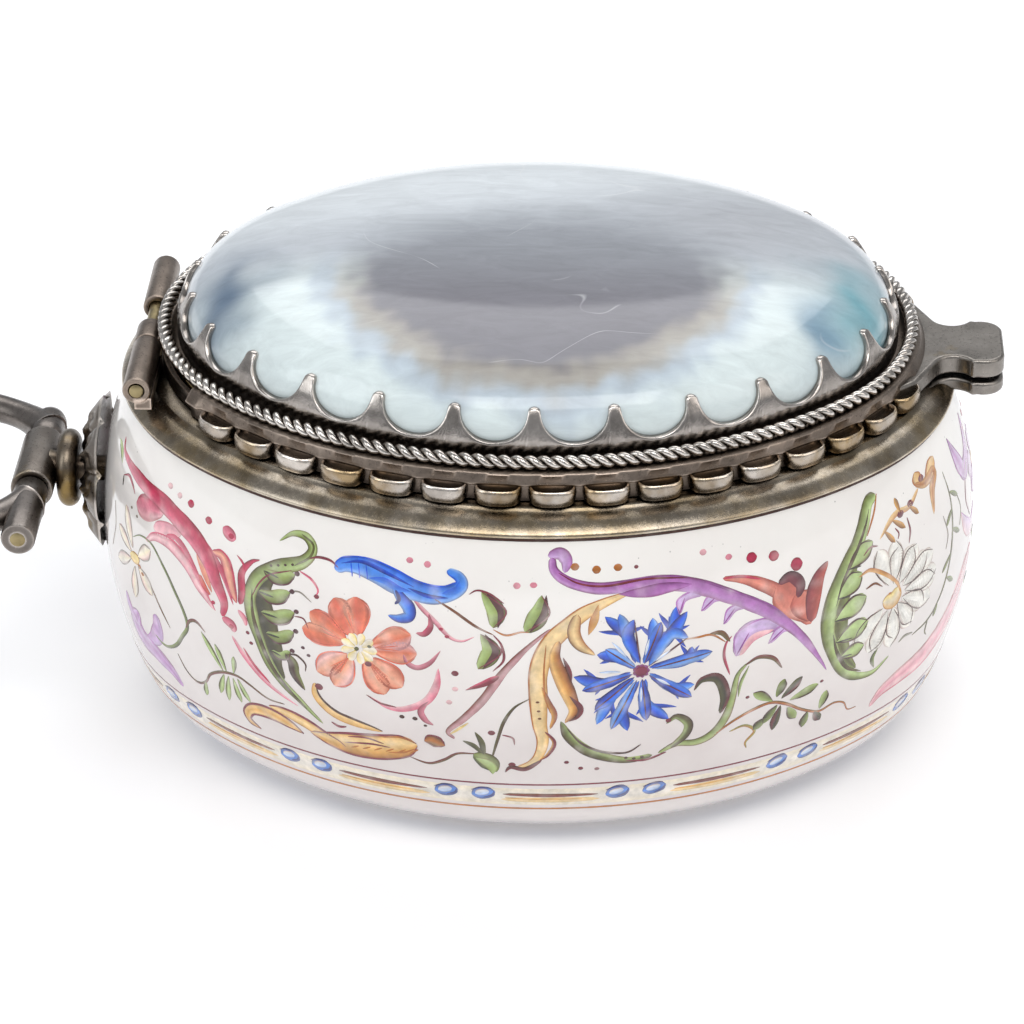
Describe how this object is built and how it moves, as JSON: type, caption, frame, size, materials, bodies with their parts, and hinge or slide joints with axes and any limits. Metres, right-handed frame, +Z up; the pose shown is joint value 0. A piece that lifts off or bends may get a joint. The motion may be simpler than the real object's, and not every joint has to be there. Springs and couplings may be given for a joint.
{
  "type": "pill box",
  "caption": "Oval pill box with a bellied enamel bowl, a hinged silver lid set with a domed stone in claws, a thumb tab and a round bow hinged on a stem at one end.",
  "frame": {"origin": "middle of the flat resting face under the bowl", "axes": "+Z up out of the bowl, +X towards the thumb tabs, -X towards the lid hinge and the bow, +Y to the far side"},
  "size_m": [0.0714, 0.0426, 0.0294],
  "materials": {
    "enamel": "glossy white enamel with painted scrolls and flowers",
    "silver": "tarnished silver, dark in the recesses and bright on worn edges",
    "rope_silver": "bright twisted silver wire",
    "gilt": "worn gilding",
    "pin_brass": "dull brass",
    "stone": "polished pearly cabochon, grey, white and blue",
    "stone_packing": "dark setting cement"
  },
  "bodies": {
    "box": {"enamel_bowl": "enamel", "rim_mount": "silver", "inner_bezel": "gilt", "lower_thumb_tab": "silver", "hinge_knuckle_near": "silver", "hinge_knuckle_far": "silver", "hinge_pin": "pin_brass", "rosette": "silver", "bow_post": "silver", "post_collar": "gilt", "bow_barrel": "silver", "post_washer": "pin_brass", "post_rivet": "pin_brass"},
    "lid": {"lid_plate": "silver", "scalloped_border": "silver", "rope_wire": "rope_silver", "claw_collet": "silver", "cabochon": "stone", "stone_bed": "stone_packing", "lid_lining": "gilt", "upper_thumb_tab": "silver", "lid_knuckle": "silver"},
    "bow": {"bow_ring": "silver", "bow_knuckle_near": "silver", "bow_knuckle_far": "silver", "bow_pin": "pin_brass"}
  },
  "joints": [
    {"name": "lid_hinge", "type": "hinge", "parent": "box", "child": "lid", "pos_m": [-0.02235, 0, 0.02335], "axis": [0, -1, 0], "range_deg": [0, 105]},
    {"name": "bow_hinge", "type": "hinge", "parent": "box", "child": "bow", "pos_m": [-0.0295, 0, 0.014], "axis": [0, -1, 0], "range_deg": [-75, 65]}
  ]
}
